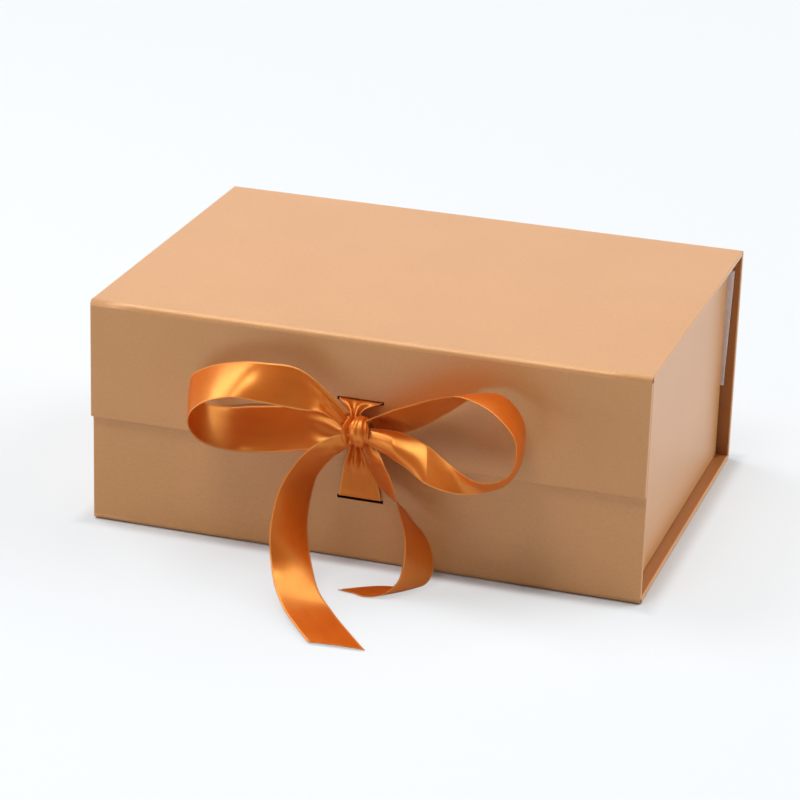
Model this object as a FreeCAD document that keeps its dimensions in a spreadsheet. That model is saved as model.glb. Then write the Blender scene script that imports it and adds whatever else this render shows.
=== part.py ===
import FreeCAD, Part

import os

# Collapsible magnetic gift box with a ribbon bow, in millimetres.
# +Z is up, +X runs along the length, -Y is the front with the flap and the bow.
# The origin is the centre of the underside of the base.

doc = FreeCAD.newDocument("gift_box")
sheet = doc.addObject("Spreadsheet::Sheet", "Sizes")

SIZES = [
    ("case_length", 240.0, "end to end over the wrapped case"),
    ("base_depth", 169.0, "outer face of the front wall to outer face of the back wall"),
    ("case_height", 100.0, "underside of the base to top of the lid"),
    ("board_thick", 2.0, "greyboard of every case and side panel"),
    ("wrap_thick", 0.25, "outer paper, turned over the panel edges"),
    ("lining_thick", 0.2, "inner paper"),
    ("lining_margin", 4.0, "from a panel's edge to its lining"),
    ("fold_radius", 2.5, "outer radius of the paper at each fold of the case"),
    ("flap_height", 52.0, "top of the lid to the flap's lower edge"),
    ("closing_gap", 0.3, "flap to front wall, lid to wall tops"),
    ("running_gap", 0.3, "between a folding piece and what it folds past"),
    ("side_inset", 5.4, "case end to the side wall's outer face"),
    ("corner_radius", 2.0, "outer radius of the side wall's upright edges"),
    ("foot_paper_thick", 0.2, "fold paper of a side wall"),
    ("foot_paper_width", 14.0, "width of each leg of that paper"),
    ("floor_thick", 1.5, "board that covers the base inside"),
    ("flange_board_thick", 1.2, "board of a corner flange"),
    ("flange_wrap_thick", 0.2, "paper round a corner flange"),
    ("flange_reach", 28.0, "hinged edge to free edge"),
    ("flange_top_cut", 10.0, "slope of the flange's top corner"),
    ("flange_foot_cut", 29.0, "slope of the flange's lower corner"),
    ("flange_headroom", 0.8, "flange top to the side wall's top"),
    ("tape_thick", 0.15, "adhesive strip on a flange"),
    ("tape_width", 9.0, "width of that strip"),
    ("liner_thick", 0.1, "release liner on the strip"),
    ("liner_width", 13.0, "width of the liner at its foot"),
    ("liner_top_reach", 2.2, "how far the liner's top stands out of the side wall"),
    ("liner_foot_reach", 0.4, "how far its foot stands out"),
    ("liner_foot_height", 30.0, "base underside to the liner's foot"),
    ("liner_top_drop", 7.25, "side wall's top to the liner's top"),
    ("magnet_radius", 6.0, "flap magnets and keeper plates"),
    ("magnet_thick", 1.5, "thickness of a magnet or keeper plate"),
    ("magnet_spacing", 150.0, "between the two magnets"),
    ("magnet_rise", 12.0, "flap's lower edge to a magnet's centre"),
    ("slot_shift", -0.7, "centre of the slots from the middle of the case"),
    ("slot_length", 20.0, "ribbon slot, left to right"),
    ("slot_height", 1.6, "ribbon slot, bottom to top"),
    ("upper_slot_drop", 27.4, "top of the lid to the slot in the flap"),
    ("lower_slot_rise", 28.0, "base underside to the slot in the front wall"),
    ("ribbon_width", 20.0, "satin ribbon, edge to edge"),
    ("ribbon_thick", 0.4, "satin ribbon"),
    ("ribbon_slack", 0.8, "how much narrower the ribbon is gathered in a slot, each side"),
    ("ribbon_tab", 24.0, "length of ribbon glued behind a board"),
    ("knot_width", 10.5, "knot, left to right"),
    ("knot_depth", 9.0, "knot, front to back"),
    ("knot_height", 11.0, "knot, bottom to top"),
    ("knot_round", 2.8, "rounding of the knot's edges"),
    ("knot_drop", 36.8, "top of the lid to the knot's centre"),
    ("knot_stand_off", 9.6, "flap's outer face to the knot's centre"),
    ("knot_shift", 1.6, "centre of the slots to the knot's centre"),
    ("seam_gap", 0.05, "between ribbon pieces that meet"),
]
for row, (alias, value, meaning) in enumerate(SIZES, start=1):
    sheet.set(f"A{row}", alias)
    sheet.set(f"B{row}", str(value))
    sheet.setAlias(f"B{row}", alias)
    sheet.set(f"C{row}", meaning)
doc.recompute()


def size(alias):
    """A driving dimension, as a number."""
    return float(sheet.get(alias))


# Planes of the case, as expressions on the driving dimensions.
END = "(Sizes.case_length / 2)"
PANEL = "(Sizes.wrap_thick + Sizes.board_thick + Sizes.lining_thick)"
TOP = "Sizes.case_height"
ROUND = "Sizes.fold_radius"
FRONT_OUT = "(-Sizes.base_depth / 2)"
FRONT_IN = f"({FRONT_OUT} + {PANEL})"
BACK_OUT = "(Sizes.base_depth / 2)"
BACK_IN = f"({BACK_OUT} - {PANEL})"
FLAP_IN = f"({FRONT_OUT} - Sizes.closing_gap)"
FLAP_OUT = f"({FLAP_IN} - {PANEL})"
FLAP_FOOT = f"({TOP} - Sizes.flap_height)"
LID_IN = f"({TOP} - {PANEL})"
WALL_TOP = f"({LID_IN} - Sizes.closing_gap)"

# The side walls stand on the base; their feet lie under the floor board.
FOOT_TOP = f"({PANEL} + Sizes.foot_paper_thick)"
FLOOR_TOP = f"({FOOT_TOP} + Sizes.floor_thick + Sizes.lining_thick)"
FLANGE = "(Sizes.flange_board_thick + 2 * Sizes.flange_wrap_thick)"
FLANGE_STACK = f"({FLANGE} + Sizes.tape_thick + Sizes.liner_thick)"
FOLD_LINE = f"({FLOOR_TOP} + {FLANGE_STACK} + 2 * Sizes.running_gap)"
SIDE_OUT = f"({END} - Sizes.side_inset)"
SIDE_IN = f"({SIDE_OUT} - {PANEL})"
FLANGE_HINGE = f"({SIDE_IN} - Sizes.running_gap)"
LINER_FACE = f"({BACK_IN} - Sizes.running_gap)"
TAPE_FACE = f"({LINER_FACE} - Sizes.liner_thick)"
FLANGE_OUT = f"({TAPE_FACE} - Sizes.tape_thick)"
FLANGE_IN = f"({FLANGE_OUT} - {FLANGE})"
SIDE_END = f"({FLANGE_OUT} - Sizes.corner_radius)"

UPPER_SLOT = f"({TOP} - Sizes.upper_slot_drop)"
LOWER_SLOT = "Sizes.lower_slot_rise"
MAGNET_LEVEL = f"({FLAP_FOOT} + Sizes.magnet_rise)"


def box(name, x, y, z):
    """A block between pairs of planes; every plane is an expression."""
    block = doc.addObject("Part::Box", name)
    for length, origin, (low, high) in (("Length", "x", x), ("Width", "y", y), ("Height", "z", z)):
        block.setExpression(length, f"({high}) - ({low})")
        block.setExpression(f"Placement.Base.{origin}", low)
    return block


def cut(name, base, tool):
    """One solid less another."""
    result = doc.addObject("Part::Cut", name)
    result.Base = base
    result.Tool = tool
    return result


def fuse(name, pieces):
    """Several solids joined."""
    result = doc.addObject("Part::MultiFuse", name)
    result.Shapes = pieces
    return result


def compound(name, pieces):
    """Separate solids that share one sub-part."""
    result = doc.addObject("Part::Compound", name)
    result.Links = pieces
    return result


subparts = []


def keep(piece, label):
    """Names a finished sub-part and lists it for export."""
    piece.Label = label
    subparts.append(piece)
    return piece


def inset(pair, low, high):
    """A pair of planes moved towards each other."""
    return (f"({pair[0]} + {low})", f"({pair[1]} - {high})")


def panel(name, x, y, z, inner, holes=None, board_holes=None):
    """Board wrapped in paper, with a lining let into its inner face.

    inner is the side that the lining is on, such as "+z". holes go through wrap and board,
    board_holes only into the board.
    """
    wrap = "Sizes.wrap_thick"
    lining = "Sizes.lining_thick"
    margin = "Sizes.lining_margin"
    planes = {"x": x, "y": y, "z": z}
    board, sheet_planes = {}, {}
    for axis, pair in planes.items():
        if axis != inner[1]:
            board[axis] = inset(pair, wrap, wrap)
            sheet_planes[axis] = inset(pair, margin, margin)
        elif inner[0] == "+":
            board[axis] = inset(pair, wrap, lining)
            sheet_planes[axis] = (f"({pair[1]} - {lining})", pair[1])
        else:
            board[axis] = inset(pair, lining, wrap)
            sheet_planes[axis] = (pair[0], f"({pair[0]} + {lining})")
    core = box(f"{name}_core", board["x"], board["y"], board["z"])
    lining_sheet = box(f"{name}_lining", sheet_planes["x"], sheet_planes["y"], sheet_planes["z"])
    outline = box(f"{name}_outline", x, y, z)
    paper = cut(f"{name}_paper", outline, fuse(f"{name}_filling", [core, lining_sheet]))
    if holes:
        paper = cut(f"{name}_paper_cut", paper, holes)
    hollows = [hole for hole in (holes, board_holes) if hole]
    if len(hollows) == 2:
        core = cut(f"{name}_core_cut", core, fuse(f"{name}_hollows", hollows))
    elif hollows:
        core = cut(f"{name}_core_cut", core, hollows[0])
    keep(core, f"{name}_board")
    keep(paper, f"{name}_wrap")
    keep(lining_sheet, f"{name}_lining")


def fold_paper(label, y, z, across, upright):
    """Quarter-round strip of wrap along the case at a fold.

    y and z are its centre line. across and upright are the directions, in the YZ plane, of
    the two flat faces that the strip runs between, in turning order about +X.
    """
    strips = []
    for part_name, radius in (("outer", ROUND), ("inner", f"({ROUND} - Sizes.wrap_thick)")):
        rod = doc.addObject("Part::Cylinder", f"{label}_{part_name}")
        rod.Angle = 90
        rod.setExpression("Radius", radius)
        rod.setExpression("Height", "Sizes.case_length")
        rod.Placement.Rotation = FreeCAD.Rotation(
            FreeCAD.Vector(0, *across), FreeCAD.Vector(0, *upright), FreeCAD.Vector(1, 0, 0)
        )
        rod.setExpression("Placement.Base.x", f"-{END}")
        rod.setExpression("Placement.Base.y", y)
        rod.setExpression("Placement.Base.z", z)
        strips.append(rod)
    keep(cut(label, strips[0], strips[1]), label)


def slot(name, level, y):
    """Opening for the ribbon through wrap and board."""
    half_length = "Sizes.slot_length / 2"
    half_height = "Sizes.slot_height / 2"
    x = (f"(Sizes.slot_shift - {half_length})", f"(Sizes.slot_shift + {half_length})")
    return box(name, x, y, (f"({level} - {half_height})", f"({level} + {half_height})"))


def tab_room(name, y, z):
    """Shallow pocket in a board for the glued end of the ribbon."""
    half = "(Sizes.ribbon_width / 2 + Sizes.seam_gap)"
    return box(name, (f"(Sizes.slot_shift - {half})", f"(Sizes.slot_shift + {half})"), y, z)


def discs(name, y, grow):
    """Pair of upright discs, for the magnets, the keeper plates and their pockets."""
    pair = []
    for side, sign in (("left", "-"), ("right", "")):
        disc = doc.addObject("Part::Cylinder", f"{name}_{side}")
        disc.setExpression("Radius", f"Sizes.magnet_radius + {grow}")
        disc.setExpression("Height", "Sizes.magnet_thick")
        disc.Placement.Rotation = FreeCAD.Rotation(FreeCAD.Vector(1, 0, 0), -90)
        disc.setExpression("Placement.Base.x", f"{sign}Sizes.magnet_spacing / 2")
        disc.setExpression("Placement.Base.y", y)
        disc.setExpression("Placement.Base.z", MAGNET_LEVEL)
        pair.append(disc)
    return pair


# Case panels. Each one ends a fold radius short of the corners that it shares.
full_length = (f"-{END}", END)

panel("base", full_length, inset((FRONT_OUT, BACK_OUT), ROUND, ROUND), ("0", PANEL), "+z")
panel("back", full_length, (BACK_IN, BACK_OUT), (ROUND, f"({TOP} - {ROUND})"), "-y")
panel("lid", full_length, inset((FLAP_OUT, BACK_OUT), ROUND, ROUND), (LID_IN, TOP), "-z")

board_in = f"({FRONT_IN} - Sizes.lining_thick)"
keeper_seat = f"({FRONT_OUT} + Sizes.wrap_thick)"
lower_tab_top = f"({LOWER_SLOT} + Sizes.slot_height / 2)"
front_slot = slot("front_slot", LOWER_SLOT, (FRONT_OUT, board_in))
front_pockets = fuse(
    "front_pockets",
    discs("keeper_pocket", keeper_seat, "Sizes.seam_gap")
    + [
        tab_room(
            "front_tab_room",
            (f"({board_in} - Sizes.ribbon_thick)", board_in),
            (f"({lower_tab_top} - Sizes.ribbon_tab)", lower_tab_top),
        )
    ],
)
panel(
    "front",
    full_length,
    (FRONT_OUT, FRONT_IN),
    (ROUND, WALL_TOP),
    "+y",
    holes=front_slot,
    board_holes=front_pockets,
)
keep(compound("keeper_plates", discs("keeper", keeper_seat, "0")), "keeper_plates")

flap_board_in = f"({FLAP_IN} - Sizes.lining_thick)"
magnet_seat = f"({flap_board_in} - Sizes.magnet_thick)"
upper_tab_foot = f"({UPPER_SLOT} - Sizes.slot_height / 2)"
flap_slot = slot("flap_slot", UPPER_SLOT, (FLAP_OUT, flap_board_in))
flap_pockets = fuse(
    "flap_pockets",
    discs("magnet_pocket", magnet_seat, "Sizes.seam_gap")
    + [
        tab_room(
            "flap_tab_room",
            (f"({flap_board_in} - Sizes.ribbon_thick)", flap_board_in),
            (upper_tab_foot, f"({upper_tab_foot} + Sizes.ribbon_tab)"),
        )
    ],
)
panel(
    "flap",
    full_length,
    (FLAP_OUT, FLAP_IN),
    (FLAP_FOOT, f"({TOP} - {ROUND})"),
    "+y",
    holes=flap_slot,
    board_holes=flap_pockets,
)
keep(compound("flap_magnets", discs("magnet", magnet_seat, "0")), "flap_magnets")

fold_paper("front_fold_paper", f"({FRONT_OUT} + {ROUND})", ROUND, (-1, 0), (0, -1))
fold_paper("back_fold_paper", f"({BACK_OUT} - {ROUND})", ROUND, (0, -1), (1, 0))
fold_paper("lid_hinge_paper", f"({BACK_OUT} - {ROUND})", f"({TOP} - {ROUND})", (1, 0), (0, 1))
fold_paper("flap_hinge_paper", f"({FLAP_OUT} + {ROUND})", f"({TOP} - {ROUND})", (0, 1), (-1, 0))

# Floor panel between the side walls, over the feet of their fold papers.
floor_end = f"({SIDE_IN} - Sizes.foot_paper_thick - Sizes.running_gap)"
floor_x = (f"-{floor_end}", floor_end)
floor_y = inset((FRONT_IN, BACK_IN), "Sizes.running_gap", "Sizes.running_gap")
board_top = f"({FOOT_TOP} + Sizes.floor_thick)"
keep(box("floor_board", floor_x, floor_y, (FOOT_TOP, board_top)), "floor_board")
keep(box("floor_lining", floor_x, floor_y, (board_top, FLOOR_TOP)), "floor_lining")


def mirrored(pair, right):
    """A pair of planes on the right of the case, or its image on the left."""
    return pair if right else (f"(-{pair[1]})", f"(-{pair[0]})")


def foot_paper(label, right):
    """L-shaped paper strip that joins a side wall to the base."""
    reach = f"({FLANGE_IN} - Sizes.running_gap)"
    y = (f"-{reach}", reach)
    face = mirrored((f"({SIDE_IN} - Sizes.foot_paper_thick)", SIDE_IN), right)
    leg = box(f"{label}_leg", face, y, (FOOT_TOP, f"({FOOT_TOP} + Sizes.foot_paper_width)"))
    under = mirrored((f"({SIDE_IN} - Sizes.foot_paper_width)", SIDE_IN), right)
    foot = box(f"{label}_foot", under, y, (PANEL, FOOT_TOP))
    keep(fuse(label, [leg, foot]), label)


def corner_paper(label, right, rear):
    """Quarter-round upright strip of paper between a side wall and its flange."""
    names = (("outer", "Sizes.corner_radius"), ("inner", "Sizes.corner_radius - Sizes.wrap_thick"))
    turn = {(True, True): 0, (False, True): 90, (False, False): 180, (True, False): 270}
    centre_x = f"({SIDE_OUT} - Sizes.corner_radius)"
    rods = []
    for name, radius in names:
        rod = doc.addObject("Part::Cylinder", f"{label}_{name}")
        rod.Angle = 90
        rod.setExpression("Radius", radius)
        rod.setExpression("Height", f"{WALL_TOP} - ({PANEL} + Sizes.running_gap)")
        rod.Placement.Rotation = FreeCAD.Rotation(FreeCAD.Vector(0, 0, 1), turn[(right, rear)])
        rod.setExpression("Placement.Base.x", centre_x if right else f"-{centre_x}")
        rod.setExpression("Placement.Base.y", SIDE_END if rear else f"-{SIDE_END}")
        rod.setExpression("Placement.Base.z", f"{PANEL} + Sizes.running_gap")
        rods.append(rod)
    keep(cut(label, rods[0], rods[1]), label)


def trapezium(name, right, y, hinge_z, free_z, reach, start="0"):
    """Upright plate with a hinged edge and a shorter free edge further inside the box."""
    plate = doc.addObject("Part::Wedge", name)
    plate.setExpression("Xmin", "0")
    plate.setExpression("Xmax", f"({y[1]}) - ({y[0]})")
    plate.setExpression("X2min", "0")
    plate.setExpression("X2max", f"({y[1]}) - ({y[0]})")
    plate.setExpression("Ymin", start)
    plate.setExpression("Ymax", reach)
    plate.setExpression("Zmin", hinge_z[0])
    plate.setExpression("Zmax", hinge_z[1])
    plate.setExpression("Z2min", free_z[0])
    plate.setExpression("Z2max", free_z[1])
    plate.Placement.Rotation = FreeCAD.Rotation(FreeCAD.Vector(0, 0, 1), 90 if right else -90)
    plate.setExpression("Placement.Base.x", FLANGE_HINGE if right else f"-{FLANGE_HINGE}")
    plate.setExpression("Placement.Base.y", y[0] if right else y[1])
    return plate


def flange(label, right, rear):
    """Corner flange: wrapped board, tape strip, release liner and corner paper."""

    def depth(low, high):
        return (low, high) if rear else (f"(-{high})", f"(-{low})")

    paper = "Sizes.flange_wrap_thick"
    foot = f"({FOLD_LINE} + Sizes.running_gap)"
    top = f"({WALL_TOP} - Sizes.flange_headroom)"
    free_foot = f"({foot} + Sizes.flange_foot_cut)"
    free_top = f"({top} - Sizes.flange_top_cut)"
    outline = trapezium(
        f"{label}_outline",
        right,
        depth(FLANGE_IN, FLANGE_OUT),
        (foot, top),
        (free_foot, free_top),
        "Sizes.flange_reach",
    )
    board = trapezium(
        f"{label}_board",
        right,
        depth(f"({FLANGE_IN} + {paper})", f"({FLANGE_OUT} - {paper})"),
        inset((foot, top), f"2 * {paper}", f"2 * {paper}"),
        inset((free_foot, free_top), f"2 * {paper}", f"2 * {paper}"),
        f"Sizes.flange_reach - {paper}",
        start=paper,
    )
    keep(board, f"{label}_board")
    keep(cut(f"{label}_wrap", outline, board), f"{label}_wrap")

    tape_edge = f"({FLANGE_HINGE} - Sizes.running_gap)"
    tape_x = mirrored((f"({tape_edge} - Sizes.tape_width)", tape_edge), right)
    tape_z = (f"({foot} + Sizes.tape_width)", free_top)
    keep(box(f"{label}_tape", tape_x, depth(FLANGE_OUT, TAPE_FACE), tape_z), f"{label}_tape")

    liner = doc.addObject("Part::Wedge", f"{label}_liner")
    liner.setExpression("Xmin", "0")
    liner.setExpression("X2min", "0")
    liner.setExpression("Xmax", "Sizes.liner_width")
    liner.setExpression(
        "X2max", "Sizes.liner_width + Sizes.liner_top_reach - Sizes.liner_foot_reach"
    )
    liner.setExpression("Ymin", "Sizes.liner_foot_height")
    liner.setExpression("Ymax", f"{WALL_TOP} - Sizes.liner_top_drop")
    for property_name, value in (("Zmin", "0"), ("Z2min", "0")):
        liner.setExpression(property_name, value)
    for property_name in ("Zmax", "Z2max"):
        liner.setExpression(property_name, "Sizes.liner_thick")
    outward = 1 if right else -1
    liner.Placement.Rotation = FreeCAD.Rotation(
        FreeCAD.Vector(outward, 0, 0), FreeCAD.Vector(0, 0, 1), FreeCAD.Vector(0, -outward, 0)
    )
    inner_edge = f"({SIDE_OUT} + Sizes.liner_foot_reach - Sizes.liner_width)"
    low, high = depth(TAPE_FACE, LINER_FACE)
    liner.setExpression("Placement.Base.x", inner_edge if right else f"-{inner_edge}")
    liner.setExpression("Placement.Base.y", high if right else low)
    keep(liner, f"{label}_liner")
    corner_paper(f"{label}_hinge_paper", right, rear)


side_z = (f"({PANEL} + Sizes.running_gap)", WALL_TOP)
side_y = (f"-{SIDE_END}", SIDE_END)
for side in ("left", "right"):
    on_right = side == "right"
    side_x = mirrored((SIDE_IN, SIDE_OUT), on_right)
    panel(f"side_{side}", side_x, side_y, side_z, "-x" if on_right else "+x")
    foot_paper(f"side_{side}_foot_paper", on_right)
    for end in ("front", "rear"):
        flange(f"flange_{end}_{side}", on_right, end == "rear")

doc.recompute()

# Ribbon. Each station gives the two edges of the ribbon: (across, forward, up) in
# millimetres from the origin, for a knot centre 63.2 above the table and a ribbon 20 wide.
# The stations move with the slots, the flap's face and the knot, and their edges spread with
# the ribbon's width.
KNOT_RISE_DRAWN = 63.2
WIDTH_DRAWN = 20.0
FACE_DRAWN = -87.25
SHIFT_DRAWN = -0.7

LEFT_LOOP_STATIONS = [
    ((-2, -103, 65), (-3, -92, 69)),
    ((-10, -108, 73), (-14, -91, 79)),
    ((-20, -112, 75), (-25, -97, 87)),
    ((-33, -115, 77), (-37, -99, 88)),
    ((-46, -117, 78), (-49, -99.5, 87)),
    ((-57, -117, 74.5), (-62, -99, 83)),
    ((-64, -115, 68.5), (-70.5, -96.5, 77)),
    ((-66.5, -111, 60), (-72, -93.5, 69)),
    ((-63, -107, 53), (-67.5, -90, 63)),
    ((-55, -103, 49), (-58.5, -88.5, 62)),
    ((-44, -100, 48), (-47, -88.3, 64)),
    ((-31, -99.5, 50), (-34, -88.3, 66)),
    ((-17, -99.5, 53.5), (-19, -88.5, 68)),
    ((-2, -99, 59), (-3, -91, 67)),
]
RIGHT_LOOP_STATIONS = [
    ((4, -98, 67), (4, -91, 60)),
    ((13, -102, 74), (19, -88.5, 62)),
    ((20, -103, 78), (28, -88.5, 67)),
    ((29, -105.5, 82.5), (35, -88.5, 72)),
    ((38, -107, 86.5), (43, -89, 78.5)),
    ((48, -109, 89), (51, -90, 84.5)),
    ((58, -111, 87), (61, -91.5, 85)),
    ((67, -113.5, 82.5), (69, -94, 79)),
    ((73, -116, 75.5), (72, -97, 70)),
    ((73, -118.5, 66), (71, -100, 60)),
    ((67, -120, 60), (67, -102, 52.5)),
    ((57, -119.5, 59), (58, -104, 48)),
    ((46, -115.5, 63), (46, -105, 46)),
    ((34, -108, 66.5), (33, -103, 47.5)),
    ((20, -103, 68), (21, -96, 51)),
    ((4, -100, 66), (4, -96, 59)),
]
LEFT_TAIL_STATIONS = [
    ((0, -101, 64), (0, -96, 58)),
    ((-7, -105.5, 63), (-5, -96.5, 54)),
    ((-14, -112, 59), (-10, -97, 49)),
    ((-20, -116, 51), (-15, -98.5, 41.5)),
    ((-24, -119.5, 42.5), (-16, -103, 33.5)),
    ((-25, -124, 34), (-15, -109.5, 25)),
    ((-24, -130, 26), (-12, -116, 18)),
    ((-21, -137, 18), (-7.5, -123, 11.5)),
    ((-16.5, -144.5, 11), (-2, -131, 6.5)),
    ((-9.5, -152, 5.5), (6, -139.5, 3)),
    ((-1, -160, 2.5), (16, -150.5, 1.2)),
    ((6.2, -167.2, 0.9), (29, -165.5, 0.7)),
]
RIGHT_TAIL_STATIONS = [
    ((3, -94, 60), (2, -99, 59)),
    ((6, -92, 54), (5, -102, 56)),
    ((10, -90.5, 46), (12, -106.5, 51)),
    ((15, -91, 37.5), (18, -109, 43)),
    ((19.5, -92, 31), (24, -110.5, 37.5)),
    ((25, -92.5, 25.5), (27, -112, 29.5)),
    ((31, -93.5, 19.5), (28, -113, 21.5)),
    ((34.5, -95, 13), (27.5, -113.5, 14)),
    ((35.5, -98, 6), (25.5, -114.5, 7)),
    ((32.5, -101.5, 1.4), (20, -117, 2)),
    ((24, -104, 0.7), (13, -118.5, 0.7)),
    ((15, -107, 0.7), (7.5, -117, 0.7)),
    ((2.5, -114.5, 0.7), (1, -116, 0.7)),
]

slot_middle = size("slot_shift")
flap_face = -(
    size("base_depth") / 2
    + size("closing_gap")
    + size("wrap_thick")
    + size("board_thick")
    + size("lining_thick")
)
spread = size("ribbon_width") / WIDTH_DRAWN
rise = size("case_height") - size("knot_drop")
half_thick = size("ribbon_thick") / 2


def edges(stations, from_knot):
    """Edge points of a ribbon stretch, set to the present sizes."""
    placed = []
    for pair in stations:
        points = []
        for across, forward, up in pair:
            level = up + rise - KNOT_RISE_DRAWN if from_knot else up * rise / KNOT_RISE_DRAWN
            x = across + slot_middle - SHIFT_DRAWN
            points.append(FreeCAD.Vector(x, forward + flap_face - FACE_DRAWN, level))
        middle = (points[0] + points[1]) / 2
        placed.append([middle + (point - middle) * spread for point in points])
    return placed


def between(before, start, end, after, share):
    """Point on the smooth curve through start and end."""
    straight = (end - start) * share
    bend = (start * 2 - before - end) * (share * (1 - share) ** 2 / 2)
    other = (end * 2 - start - after) * (share**2 * (1 - share) / 2)
    return start + straight + bend + other


def smoothed(stations, steps):
    """More stations on smooth curves through the given ones."""
    last = len(stations) - 1
    fine = []
    for index in range(last):
        rows = [stations[max(0, min(last, index + offset))] for offset in (-1, 0, 1, 2)]
        for step in range(steps):
            fine.append([between(*(row[k] for row in rows), step / steps) for k in (0, 1)])
    fine.append(stations[last])
    return fine


def strip(stations):
    """Solid ribbon through its stations."""
    middles = [(front + rear) / 2 for front, rear in stations]
    last = len(stations) - 1
    sections = []
    for index, (front, rear) in enumerate(stations):
        along = middles[min(last, index + 1)] - middles[max(0, index - 1)]
        face = (rear - front).cross(along)
        face.normalize()
        face = face * half_thick
        corners = [front + face, rear + face, rear - face, front - face]
        sections.append(Part.makePolygon(corners + [corners[0]]))
    return Part.makeLoft(sections, True, True)


def ribbon(label, shape):
    """Sub-part that holds one stretch of ribbon."""
    piece = doc.addObject("Part::Feature", label)
    piece.Shape = shape
    keep(piece, label)
    return piece


def block(low, high):
    """Plain solid between two corners."""
    span = FreeCAD.Vector(*high) - FreeCAD.Vector(*low)
    return Part.makeBox(span.x, span.y, span.z, FreeCAD.Vector(*low))


knot_x = slot_middle + size("knot_shift")
knot_y = flap_face - size("knot_stand_off")
knot_half = [size("knot_width") / 2, size("knot_depth") / 2, size("knot_height") / 2]
seam = size("seam_gap")

knot_low = [centre - half for centre, half in zip((knot_x, knot_y, rise), knot_half)]
knot_high = [centre + half for centre, half in zip((knot_x, knot_y, rise), knot_half)]
knot = block(knot_low, knot_high)
knot_round = min(size("knot_round"), 0.9 * min(knot_half))
ribbon("ribbon_knot", knot.makeFillet(knot_round, knot.Edges))
knot_room = block([value - seam for value in knot_low], [value + seam for value in knot_high])

STEPS = 2


def largest(shape):
    """The biggest solid of a cut stretch."""
    return max(shape.Solids, key=lambda solid: solid.Volume)


loops = {
    "ribbon_loop_left": LEFT_LOOP_STATIONS,
    "ribbon_loop_right": RIGHT_LOOP_STATIONS,
}
for loop_name, loop_stations in loops.items():
    loop_shape = strip(smoothed(edges(loop_stations, True), STEPS)).cut(knot_room)
    ribbon(loop_name, largest(loop_shape))
tails = {
    "ribbon_tail_left": LEFT_TAIL_STATIONS,
    "ribbon_tail_right": RIGHT_TAIL_STATIONS,
}
for tail_name, tail_stations in tails.items():
    tail_shape = strip(smoothed(edges(tail_stations, False), STEPS)).cut(knot_room)
    ribbon(tail_name, largest(tail_shape))

# Legs of the ribbon: each comes from a tab behind a board, through a slot and to the knot.
in_slot = size("slot_length") / 2 - size("ribbon_slack")
front_face = -size("base_depth") / 2
board_back = front_face + size("wrap_thick") + size("board_thick")
flap_board_back = flap_face + size("wrap_thick") + size("board_thick")
lower_slot = size("lower_slot_rise")
upper_slot = size("case_height") - size("upper_slot_drop")
flap_foot = size("case_height") - size("flap_height")
thick = size("ribbon_thick")
slot_half = size("slot_height") / 2


def across_rows(rows):
    """Stations of a leg from rows of half width, forward and up."""
    stations = []
    for shift, half, forward, up in rows:
        middle = slot_middle + shift
        left = FreeCAD.Vector(middle - half, forward, up)
        stations.append((left, FreeCAD.Vector(middle + half, forward, up)))
    return stations


lower_exit = front_face - half_thick
leg_top = flap_foot - 2 * size("closing_gap")
knot_foot = rise - knot_half[2]
leg_front = flap_face - 2.2
lower_leg = strip(
    across_rows(
        [
            (0.0, in_slot, lower_exit, lower_slot),
            (0.0, in_slot - 0.4, lower_exit - 0.4, lower_slot + 3.0),
            (0.2, in_slot - 1.4, lower_exit - 1.8, (lower_slot + leg_top) / 2),
            (0.6, in_slot - 3.0, leg_front, leg_top),
        ]
    )
)
through = block(
    (slot_middle - in_slot, lower_exit - half_thick, lower_slot - half_thick),
    (slot_middle + in_slot, board_back, lower_slot + half_thick),
)
tab = block(
    (slot_middle - in_slot, board_back - thick, lower_slot + slot_half - size("ribbon_tab")),
    (slot_middle + in_slot, board_back, lower_slot + half_thick),
)
ribbon("ribbon_lower_leg", lower_leg.fuse([through, tab]).removeSplitter())

lower_end = strip(
    across_rows(
        [
            (0.6, in_slot - 3.1, leg_front - 0.1, leg_top + size("closing_gap")),
            (0.6, in_slot - 5.4, leg_front - 1.6, (leg_top + knot_foot) / 2),
            (0.6, in_slot - 7.0, knot_y + knot_half[1] - 1.0, knot_foot - seam - thick),
        ]
    )
)
ribbon("ribbon_lower_end", lower_end)

upper_exit = flap_face - half_thick
knot_back = knot_y + knot_half[1]
knot_top = rise + knot_half[2]
upper_leg = strip(
    across_rows(
        [
            (0.0, in_slot, upper_exit, upper_slot),
            (0.3, in_slot - 1.8, upper_exit - 1.8, upper_slot - 0.6),
            (1.6, in_slot - 6.6, knot_back - 0.6, knot_top + seam + thick),
        ]
    )
)
through = block(
    (slot_middle - in_slot, upper_exit - half_thick, upper_slot - half_thick),
    (slot_middle + in_slot, flap_board_back, upper_slot + half_thick),
)
tab = block(
    (slot_middle - in_slot, flap_board_back - thick, upper_slot - half_thick),
    (slot_middle + in_slot, flap_board_back, upper_slot - slot_half + size("ribbon_tab")),
)
ribbon("ribbon_upper_leg", upper_leg.fuse([through, tab]).removeSplitter())

doc.recompute()

for piece in doc.Objects:
    if "Invalid" in piece.State or "Error" in piece.State:
        raise RuntimeError(f"{piece.Name} did not recompute: {piece.State}")
for piece in subparts:
    if piece.Shape.isNull() or not piece.Shape.isValid() or not piece.Shape.Solids:
        raise RuntimeError(f"{piece.Label} has no sound solid")

os.makedirs("parts", exist_ok=True)
for piece in subparts:
    piece.Shape.exportStep(f"parts/{piece.Label}.step")
    solids = len(piece.Shape.Solids)
    print(f"{piece.Label}: {solids} solid(s), {piece.Shape.Volume / 1000:.3f} cm3")
print(len(subparts), "sub-parts")
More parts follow.
